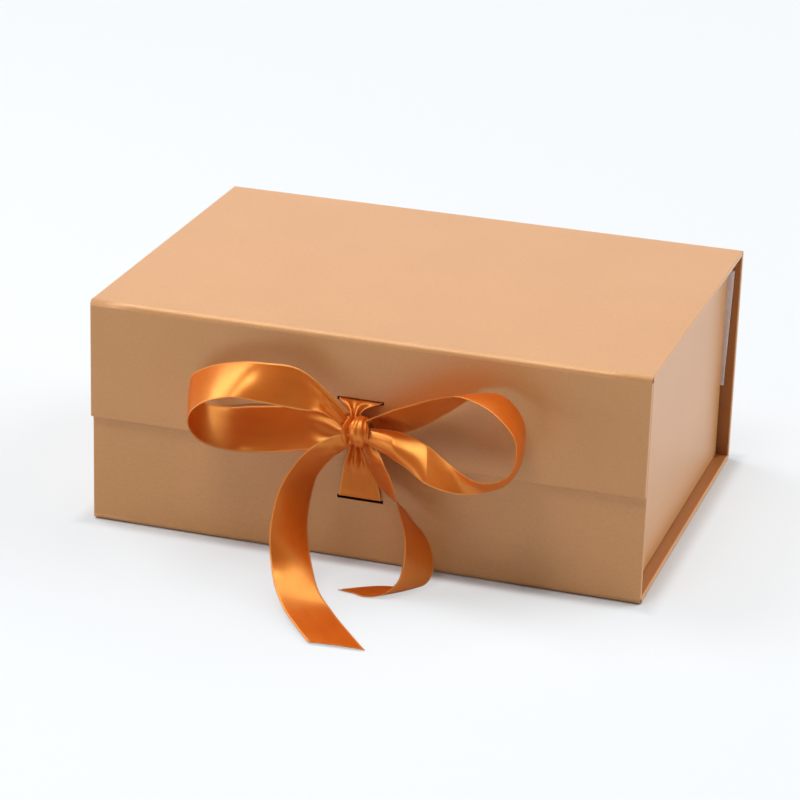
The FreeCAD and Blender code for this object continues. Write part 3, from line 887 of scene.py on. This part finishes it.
@dataclass
class SideWall:
    """A side wall with its corner flanges."""

    side: Side
    edge_radius: float = 0.45
    corner_radius: float = 2.0
    corner_margin: float = 0.2

    def build(self, shop: Workshop) -> None:
        """Makes the wall, its foot paper and both flanges.

        Args:
            shop: Keeps the finishes.
        """
        word = self.side.word
        inner = Face.LEFT if self.side is Side.RIGHT else Face.RIGHT
        node, butts = f"side_{word}", (Face.FRONT, Face.BACK)
        WrappedPanel(node, node, inner, butts, edge_radius=self.edge_radius).build(shop)
        shop.dress(Finish.BOARD, f"{node}_board")
        shop.dress(Finish.LINING, f"{node}_lining")
        FootPaper(self.side).build(shop)
        for end in End:
            self._flange(shop, end)

    def _flange(self, shop: Workshop, end: End) -> None:
        """Dresses a corner flange and makes its corner paper."""
        name = f"flange_{end.word}_{self.side.word}"
        shop.dress(Finish.BOARD, f"{name}_board")
        shop.dress(Finish.LINING, f"{name}_wrap")
        shop.dress(Finish.TAPE, f"{name}_tape")
        LinerStrip(name, self.side, end).build(shop)
        low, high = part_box(f"{name}_hinge_paper")
        inner_x = low.x if self.side is Side.RIGHT else high.x
        inner_y = low.y if end is End.REAR else high.y
        outward, endward = Vector((self.side.value, 0, 0)), Vector((0, end.value, 0))
        FoldPaper(
            f"{name}_hinge_paper",
            (f"side_{self.side.word}", name),
            Vector((inner_x, inner_y, (low.z + high.z) / 2)),
            outward.cross(endward),
            outward,
            (high.z - low.z) / MM - self.corner_margin,
            radius=self.corner_radius,
            held_turn=math.pi / 4,
        ).build(shop)


class Held(Enum):
    """What keeps a stretch of ribbon in its shape."""

    GATHERED = "gathered"
    HUNG = "hung"
    STRETCHED = "stretched"


def arch(across: float) -> float:
    """1 in the middle of the cloth, falling to 0 at its edges."""
    return 1 - (2 * across - 1) ** 2


@dataclass(frozen=True)
class Gather:
    """How a ribbon is bunched towards one of its ends: in pleats, or cupped, or both."""

    pleats: float
    depth: float
    reach: float
    skew: float = 0.0
    cup: float = 0.0
    wander: float = 0.06
    wander_waves: float = 5.0
    wander_drift: float = 0.11
    least_width: float = 3.0
    most_cup: float = 0.4
    slack_to_rise: float = 0.375

    def lift(self, gone: float, across: float, width: float) -> float:
        """How far the bunched cloth stands off its plain surface.

        Args:
            gone: Distance from the bunched end.
            across: 0 at the first edge, 1 at the second.
            width: The width that the bunched cloth takes up there.

        Returns:
            The height in millimetres.
        """
        share = max(0.0, 1.0 - gone / self.reach)
        spare = max(1.0, RIBBON_WIDTH / max(width, self.least_width))
        period = 2 * math.pi * self.pleats
        depth = min(self.depth, width / period * math.sqrt(2 * (spare**2 - 1)))
        drift = self.wander * math.sin(self.wander_waves * across + gone * self.wander_drift)
        turn = period * (across + self.skew * share + drift)
        pleat = depth * share * (1 - abs(self.cup)) * math.sin(turn)
        rise = min(self.most_cup, math.sqrt((spare - 1) * self.slack_to_rise))
        return pleat + self.cup * width * rise * min(1.0, 2 * share) * arch(across)


def between(before: Vector, start: Vector, end: Vector, after: Vector, share: float) -> Vector:
    """Point on the smooth curve through start and end.

    Args:
        before: The point before start.
        start: Where the stretch starts.
        end: Where it ends.
        after: The point after end.
        share: How far along the stretch, 0 to 1.

    Returns:
        The point.
    """
    bend = (start * 2 - before - end) * (share * (1 - share) ** 2 / 2)
    other = (end * 2 - start - after) * (share**2 * (1 - share) / 2)
    return start + (end - start) * share + bend + other


@dataclass
class RibbonRun:
    """A stretch of satin ribbon through given stations, in millimetres."""

    name: str
    stations: Sequence[Station]
    replaces: str
    held: Held
    rests_on: tuple[str, ...]
    body: str = "flap"
    flips: bool = False
    start: Gather | None = None
    end: Gather | None = None
    crown: float = 0.35
    ripple: float = 0.0
    ripple_pace: float = 0.42
    ripple_bend: float = 1.6
    picot: float = 0.17
    thickness: float = 0.32
    row: float = 0.28
    columns: int = 22
    marks_each: int = 24
    glance: float = 0.02

    def __post_init__(self) -> None:
        """Measures the run along its middle."""
        self._rows = [(Vector(a), Vector(b)) for a, b in self.stations]
        self._marks = [0.0]
        last = self._pair(0.0)
        for k in range(1, self.marks_each * (len(self._rows) - 1) + 1):
            here = self._pair(k / self.marks_each)
            step = (here[0] + here[1]) / 2 - (last[0] + last[1]) / 2
            self._marks.append(self._marks[-1] + step.length)
            last = here
        self.length = self._marks[-1]

    def _pair(self, place: float) -> tuple[Vector, Vector]:
        """The ribbon's two edges at a place counted in stations."""
        last = len(self._rows) - 1
        index = min(last - 1, max(0, int(place)))
        share = place - index
        rows = [self._rows[max(0, min(last, index + k))] for k in (-1, 0, 1, 2)]
        return tuple(between(*(row[k] for row in rows), share) for k in (0, 1))

    def _station_at(self, distance: float) -> float:
        """The place, in stations, at a distance along the run."""
        low = max(0, min(len(self._marks) - 2, bisect_right(self._marks, distance) - 1))
        gap = self._marks[low + 1] - self._marks[low]
        return (low + (distance - self._marks[low]) / gap) / self.marks_each

    def _fold(self, distance: float, across: float, width: float) -> float:
        """How far the cloth stands off its plain surface, in millimetres."""
        ends = ((self.start, distance), (self.end, self.length - distance))
        lift = sum(gather.lift(gone, across, width) for gather, gone in ends if gather)
        wave = math.sin(distance * self.ripple_pace + self.ripple_bend * across**2)
        return lift + self.crown * arch(across) + self.ripple * wave

    def point(self, along: float, across: float) -> Vector:
        """A point of the cloth's middle surface.

        Args:
            along: 0 at the first station, 1 at the last.
            across: 0 at the first edge, 1 at the second.

        Returns:
            The point in metres.
        """
        distance = along * self.length
        place = self._station_at(distance)
        first, second = self._pair(place)
        ahead = self._pair(min(len(self._rows) - 1, place + self.glance))
        behind = self._pair(max(0.0, place - self.glance))
        tangent = (ahead[0] + ahead[1]) - (behind[0] + behind[1])
        normal = tangent.cross(second - first)
        normal.normalize()
        if self.flips:
            normal.negate()
        width = (second - first).length
        base = first + (second - first) * across
        if min(across, 1 - across) < TOUCHING:
            picot = self.picot * math.sin(distance * 2 * math.pi / STITCH_PITCH)
            base += (second - first).normalized() * (picot if across > 0.5 else -picot)
        return (base + normal * self._fold(distance, across, width)) * MM

    def build(self, shop: Workshop) -> None:
        """Makes the cloth of this run.

        Args:
            shop: Keeps the finishes.
        """
        rows = int(self.length / self.row)
        mesh = sheet_mesh(rows, self.columns, self.point, (self.length, RIBBON_WIDTH))
        if self.flips:
            bmesh.ops.reverse_faces(mesh, faces=mesh.faces[:])
        made = shop.strip(self.name, mesh, RIBBON, self.replaces, self.thickness)
        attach(made, self.body)
        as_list(self.rests_on)
        LOG.info("%s is %.0f mm long", self.name, self.length)


@dataclass
class Knot:
    """The knot: a pleated band pulled once round the crossing."""

    node: str = "ribbon_knot"
    body: str = "flap"
    band_width: float = 11.6
    aside: float = 0.9
    turn_height: float = 11.2
    turn_depth: float = 12.0
    thickness: float = 0.35
    points: tuple[int, int] = (128, 64)
    pinches: tuple[Pair, ...] = ((0.35, 0.15), (0.25, 0.3))
    sway: float = 0.07
    rolls: tuple[Bump, ...] = ((1.0, 0.12, 0.09), (0.8, 0.62, 0.25))
    dips: tuple[Bump, ...] = ((1.3, 0.28, 0.05), (0.6, 0.88, 0.04))
    tucks: tuple[Bump, ...] = ((1.0, 0.0, 0.05), (1.1, 1.0, 0.06))
    creases: tuple[Bump, ...] = ((0.2, 0.6, 0.28),)
    crease_turn: Triple = (26.0, 1.3, 0.6)

    def __post_init__(self) -> None:
        """Finds the knot's middle."""
        low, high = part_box(self.node)
        self._middle = (low + high) / 2

    def build(self, shop: Workshop) -> None:
        """Makes the band that goes once round the knot.

        Args:
            shop: Keeps the finishes.
        """
        length = math.pi * (self.turn_height + self.turn_depth) / 2
        mesh = sheet_mesh(*self.points, self._band_point, (length, RIBBON_WIDTH))
        bmesh.ops.remove_doubles(mesh, verts=mesh.verts, dist=TOUCHING)
        bmesh.ops.recalc_face_normals(mesh, faces=mesh.faces)
        made = shop.strip("ribbon_knot_band", mesh, RIBBON, self.node, self.thickness, -1.0)
        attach(made, self.body)

    def _band_point(self, around: float, across: float) -> Vector:
        """A point of the band, in metres."""
        angle = 2 * math.pi * around
        top, foot = max(0.0, math.sin(angle)) ** 4, max(0.0, -math.sin(angle)) ** 3
        left, right = (1 - at_top * top - at_foot * foot for at_top, at_foot in self.pinches)
        x = self.band_width / 2 * (right * across - left * (1 - across)) + self.aside
        bent = across + self.sway * math.sin(angle)
        pace, drift, lag = self.crease_turn
        crease = math.sin(pace * across + drift * math.sin(angle + lag))
        relief = self._raised(bent, self.rolls) - self._raised(bent, self.dips)
        relief += crease * self._raised(across, self.creases) - self._raised(across, self.tucks)
        radius = 1.0 + relief / (self.turn_height / 2)
        y = -math.cos(angle) * self.turn_depth / 2 * radius
        z = math.sin(angle) * self.turn_height / 2 * radius
        return self._middle + Vector((x, y, z)) * MM

    @staticmethod
    def _raised(place: float, bumps: Sequence[Bump]) -> float:
        """Height of smooth bumps, each given by its height, middle and spread."""
        return sum(high * math.exp(-(((place - mid) / spread) ** 2)) for high, mid, spread in bumps)


@dataclass
class Bow:
    """The ribbon: two legs out of the slots, the knot, two loops and two tails."""

    left_loop: tuple[Station, ...] = (
        ((-2, -101, 64), (-3, -95, 70)),
        ((-10, -105, 72), (-14, -98, 81.2)),
        ((-21.5, -107, 73), (-23.5, -102, 89)),
        ((-34.2, -111, 75.4), (-35.8, -103, 89.6)),
        ((-46.5, -115.5, 77.4), (-48.5, -101, 87.6)),
        ((-57, -117, 74.5), (-62, -99, 83)),
        ((-64, -115, 68.5), (-70.5, -96.5, 77)),
        ((-66.5, -111, 60), (-72, -93.5, 69)),
        ((-63, -107, 53), (-67.5, -90, 63)),
        ((-55, -103, 49), (-58.5, -88.5, 62)),
        ((-44, -100, 48), (-47, -88.3, 64)),
        ((-31, -99.5, 50), (-34, -88.3, 66)),
        ((-17, -99.5, 53.5), (-19, -88.5, 68)),
        ((-2, -99, 59), (-3, -91, 67)),
    )
    right_loop: tuple[Station, ...] = (
        ((4, -98, 67), (4, -91, 60)),
        ((13, -102, 74), (19, -88.5, 62)),
        ((20, -103, 78), (28, -88.5, 67)),
        ((29, -105.5, 82.5), (35, -88.5, 72)),
        ((38, -107, 86.5), (43, -89, 78.5)),
        ((48, -109, 89), (51, -90, 84.5)),
        ((58, -111, 87), (61, -91.5, 85)),
        ((67, -113.5, 82.5), (69, -94, 79)),
        ((73, -116, 75.5), (72, -97, 70)),
        ((73, -118.5, 66), (71, -100, 60)),
        ((67, -120, 60), (67, -102, 52.5)),
        ((56.1, -116.5, 57.8), (58.9, -107, 49.2)),
        ((43.8, -108.5, 60.1), (48.5, -113, 49.3)),
        ((32.1, -102, 64.1), (35.8, -112, 51.1)),
        ((18.8, -99, 66.4), (24.1, -106, 55.1)),
        ((3.5, -97.5, 65), (5.1, -99.5, 60.4)),
    )
    left_tail: tuple[Station, ...] = (
        ((0, -101, 64), (0, -96, 58)),
        ((-7, -105.5, 63), (-5, -96.5, 54)),
        ((-14, -112, 59), (-10, -97, 49)),
        ((-20, -116, 51), (-15, -98.5, 41.5)),
        ((-24, -119.5, 42.5), (-16, -103, 33.5)),
        ((-25, -124, 34), (-15, -109.5, 25)),
        ((-24.3, -129.1, 25.6), (-11.7, -116.9, 18.4)),
        ((-22.3, -132.8, 16.3), (-6.2, -127.2, 13.2)),
        ((-18, -139.5, 9), (-0.5, -136, 8.5)),
        ((-10.2, -149.7, 4.5), (6.7, -141.8, 4)),
        ((-1.1, -159.6, 2.3), (16.1, -150.9, 1.4)),
        ((6.2, -167.2, 0.9), (29, -165.5, 0.7)),
    )
    right_tail: tuple[Station, ...] = (
        ((2.8, -95, 58.9), (8, -98, 61.7)),
        ((2.9, -92, 52.4), (11.3, -101, 58)),
        ((5.1, -91, 44.4), (16.4, -106, 53.3)),
        ((10.7, -91, 36.4), (20.9, -108.5, 46.3)),
        ((19.5, -92, 31), (24, -110.5, 37.5)),
        ((25, -92.5, 25.5), (27, -112, 29.5)),
        ((31, -93.5, 19.5), (28, -113, 21.5)),
        ((34.5, -95, 13), (27.5, -113.5, 14)),
        ((35.5, -98, 6), (25.5, -114.5, 7)),
        ((32.5, -101.5, 1.4), (20, -117, 2)),
        ((24, -104, 0.7), (13, -118.5, 0.7)),
        ((15, -107, 0.7), (7.5, -117, 0.7)),
        ((2.5, -114.5, 0.7), (1, -116, 0.7)),
    )
    lower_leg: tuple[Station, ...] = (
        ((-9.9, -82.6, 28.45), (8.5, -82.6, 28.45)),
        ((-9.9, -84.3, 28.45), (8.5, -84.3, 28.45)),
        ((-9.8, -84.95, 29.2), (8.4, -84.95, 29.2)),
        ((-9.4, -85.4, 32.5), (8.1, -85.4, 32.5)),
        ((-8.2, -86.9, 38.0), (7.2, -86.9, 38.0)),
        ((-6.2, -89.45, 47.6), (6.0, -89.45, 47.6)),
    )
    lower_end: tuple[Station, ...] = (
        ((-6.2, -89.46, 47.62), (6.0, -89.46, 47.62)),
        ((-4.2, -90.9, 52.6), (4.0, -90.9, 52.6)),
        ((-2.6, -93.3, 57.4), (2.4, -93.3, 57.4)),
        ((-2.2, -95.2, 60.0), (2.0, -95.2, 60.0)),
    )
    upper_leg: tuple[Station, ...] = (
        ((-9.9, -85.4, 72.6), (8.5, -85.4, 72.6)),
        ((-9.9, -87.2, 72.7), (8.5, -87.2, 72.7)),
        ((-8.8, -88.9, 72.6), (6.4, -88.9, 72.3)),
        ((-6.0, -91.2, 71.6), (2.6, -91.2, 71.1)),
        ((-3.2, -93.8, 69.4), (0.9, -93.8, 69.0)),
        ((-2.6, -96.4, 66.4), (1.2, -96.4, 66.2)),
    )

    def build(self, shop: Workshop) -> None:
        """Makes the whole bow.

        Args:
            shop: Keeps the finishes.
        """
        for run in self._runs():
            run.build(shop)
        Knot().build(shop)

    def _runs(self) -> tuple[RibbonRun, ...]:
        """Every stretch of ribbon with the way it is bunched."""
        knot, flap = ("ribbon_knot_band",), ("ribbon_knot_band", "flap_paper")
        gathered, hung, stretched = Held
        return (
            RibbonRun(
                "bow_loop_left", self.left_loop, "ribbon_loop_left", gathered, flap, flips=True,
                start=Gather(2.0, 0.9, 24.0, 0.15, cup=-0.5), end=Gather(2.5, 0.8, 24.0, 0.3),
                ripple=0.08,
            ),
            RibbonRun(
                "bow_loop_right", self.right_loop, "ribbon_loop_right", gathered, flap,
                start=Gather(2.5, 1.1, 22.0, 0.1, cup=0.6),
                end=Gather(1.0, 0.5, 32.0, 0.4, cup=0.6), ripple=0.08,
            ),
            RibbonRun(
                "bow_tail_left", self.left_tail, "ribbon_tail_left", hung, knot,
                start=Gather(1.5, 0.9, 20.0, 0.2, cup=0.5), ripple=0.04,
            ),
            RibbonRun(
                "bow_tail_right", self.right_tail, "ribbon_tail_right", hung, knot, flips=True,
                start=Gather(2.0, 0.9, 20.0, 0.2, cup=-0.4), ripple=0.04,
            ),
            RibbonRun(
                "bow_leg_lower", self.lower_leg, "ribbon_lower_leg", stretched, ("front_paper",),
                body="tray", flips=True, end=Gather(3.0, 1.6, 8.0, wander=0.0), crown=0.0,
            ),
            RibbonRun(
                "bow_leg_lower_end", self.lower_end, "ribbon_lower_end", gathered, knot,
                flips=True, end=Gather(3.0, 1.6, 400.0, wander=0.0), crown=0.0,
            ),
            RibbonRun(
                "bow_leg_upper", self.upper_leg, "ribbon_upper_leg", gathered, flap,
                end=Gather(2.0, 1.7, 13.0, -0.125, wander=0.0), crown=0.0,
            ),
        )


@dataclass
class PhotoCamera:
    """The photograph's camera, turned and placed about the box."""

    azimuth: float = 17.187
    elevation: float = 21.352
    roll: float = 1.82
    focal_pixels: float = 3160.6
    picture_pixels: float = 800.0
    sensor: float = 36.0
    near: float = 0.05
    place: Triple = (369.158, -1228.8, 542.61)

    def build(self) -> None:
        """Makes the scene's camera."""
        turn, tilt, roll = (math.radians(v) for v in (self.azimuth, self.elevation, self.roll))
        back = Vector(
            (math.sin(turn) * math.cos(tilt), -math.cos(turn) * math.cos(tilt), math.sin(tilt))
        )
        right = Vector((math.cos(turn), math.sin(turn), 0))
        up = back.cross(right)
        rolled_right = right * math.cos(roll) + up * math.sin(roll)
        rolled_up = up * math.cos(roll) - right * math.sin(roll)
        data = bpy.data.cameras.new("photo_camera")
        data.sensor_width = self.sensor
        data.lens = self.focal_pixels / self.picture_pixels * self.sensor
        data.clip_start = self.near
        made = placed("photo_camera", data)
        axes = Matrix((rolled_right, rolled_up, back)).transposed().to_4x4()
        made.matrix_world = Matrix.Translation(Vector(self.place) * MM) @ axes
        bpy.context.scene.camera = made


@dataclass(frozen=True)
class Lamp:
    """A soft light, placed by its bearing from the front and its height, in degrees.

    It is far away where reach is 0, and else a softbox that many metres from the box. Without
    sheen it lights the colours alone and shows in no gloss.
    """

    name: str
    bearing: float
    height: float
    strength: float
    spread: float = 50.0
    reach: float = 0.0
    sheen: bool = True

    def towards(self) -> Vector:
        """The direction its light travels in."""
        bearing, height = math.radians(self.bearing), math.radians(self.height)
        level = math.cos(height)
        return Vector((-math.sin(bearing) * level, math.cos(bearing) * level, -math.sin(height)))


@dataclass
class Studio:
    """Pale floor, pale surroundings and soft light."""

    floor_colour: Colour = (0.735, 0.775, 0.81)
    floor_glow: Colour = (0.985, 0.997, 1.0)
    floor_reach: float = 6.0
    glow_share: float = 0.53
    glow_in_gloss: float = 0.35
    # foot: metres from the box's outline over which the glow fades in, a painted shadow at the
    # box's foot.
    foot: Pair = (0.0015, 0.0095)
    surround: Colour = (0.95, 0.965, 0.975)
    sky: float = 0.12
    front: float = 0.25
    front_span: Pair = (-0.3, 0.5)
    lamps: tuple[Lamp, ...] = (
        Lamp("overhead", 0.0, 90.0, 0.72, 32.0),
        Lamp("front_top", 343.0, 63.0, 0.72, 20.0),
        Lamp("left", 287.0, 36.0, 0.62, 30.0, 1.1),
        Lamp("left_front", 300.0, 8.0, 0.34, 24.0, 1.2),
        Lamp("left_back", 255.0, 58.0, 0.90, 26.0),
        Lamp("right_back", 119.0, 33.0, 1.98, 50.0, 0.0, False),
    )

    def build(self) -> None:
        """Makes the floor, the surroundings and the lamps."""
        self._floor()
        self._world()
        for lamp in self.lamps:
            self._lamp(lamp)
        bpy.context.scene.view_settings.view_transform = "Standard"

    def _floor(self) -> None:
        """A wide flat floor, brighter to the eye and in a gloss; the band at the box's foot loses
        the glow, a painted shadow over the rendered one.
        """
        mesh = bmesh.new()
        bmesh.ops.create_grid(mesh, x_segments=2, y_segments=2, size=self.floor_reach)
        recipe = Recipe(bpy.data.materials.new("studio_floor"))
        camera, gloss, through = recipe.rays()
        seen = (camera + gloss * self.glow_in_gloss + through).least(1.0)
        paint = recipe.add("ShaderNodeBsdfDiffuse", {}, {"Color": self.floor_colour})
        glow = recipe.add("ShaderNodeEmission", {}, {"Color": self.floor_glow})
        x, y, _ = recipe.parts(recipe.place())
        reach = CAD_BOX[1]
        clear = (x.size() - reach[0]).most(y.size() - reach[1])
        # No glow in the foot band: the rendered shadow shows there, deepened by position as painted
        # shadow.
        share = seen * clear.ramp(*self.foot) * self.glow_share
        mixed = recipe.add("ShaderNodeMixShader", {}, {0: share, 1: paint, 2: glow})
        filled("studio_floor", mesh, [recipe.end(mixed)])

    def _world(self) -> None:
        """Surroundings: white to the eye, dim in front in a gloss, soft as a light."""
        recipe = Recipe(bpy.data.worlds.new("studio"))
        _, depth, _ = recipe.parts(recipe.add("ShaderNodeTexCoord", output="Generated"))
        camera, gloss, _ = recipe.rays()
        start, stop = self.front_span
        span = {"From Min": start, "From Max": stop, "To Min": self.front, "To Max": 1.0}
        shine = recipe.add("ShaderNodeMapRange", {}, {"Value": depth, **span})
        level = recipe.choose(camera, recipe.choose(gloss, self.sky, shine), 1.0)
        values = {"Color": self.surround, "Strength": level}
        bpy.context.scene.world = recipe.end(recipe.add("ShaderNodeBackground", {}, values))

    @staticmethod
    def _lamp(lamp: Lamp) -> None:
        """One lamp; its strength is the light that reaches the box."""
        data = bpy.data.lights.new(lamp.name, "AREA" if lamp.reach else "SUN")
        if lamp.reach:
            data.shape = "DISK"
            data.size = 2 * lamp.reach * math.tan(math.radians(lamp.spread / 2))
            data.energy = lamp.strength * math.pi * lamp.reach**2
        else:
            data.energy = lamp.strength
            data.angle = math.radians(lamp.spread)
        made = placed(lamp.name, data)
        made.location = lamp.towards() * -lamp.reach
        made.visible_glossy = lamp.sheen
        made.rotation_mode = "QUATERNION"
        made.rotation_quaternion = lamp.towards().to_track_quat("-Z", "Y")


def main() -> None:
    """Builds the camera, the studio and every piece of the box, and logs each ribbon run's length.
    """
    logging.basicConfig(level=logging.INFO, format="%(message)s")
    shop = Workshop()
    PhotoCamera().build()
    Studio().build()
    Casing().build(shop)
    for side in Side:
        SideWall(side).build(shop)
    Bow().build(shop)


if __name__ == "__main__":
    main()
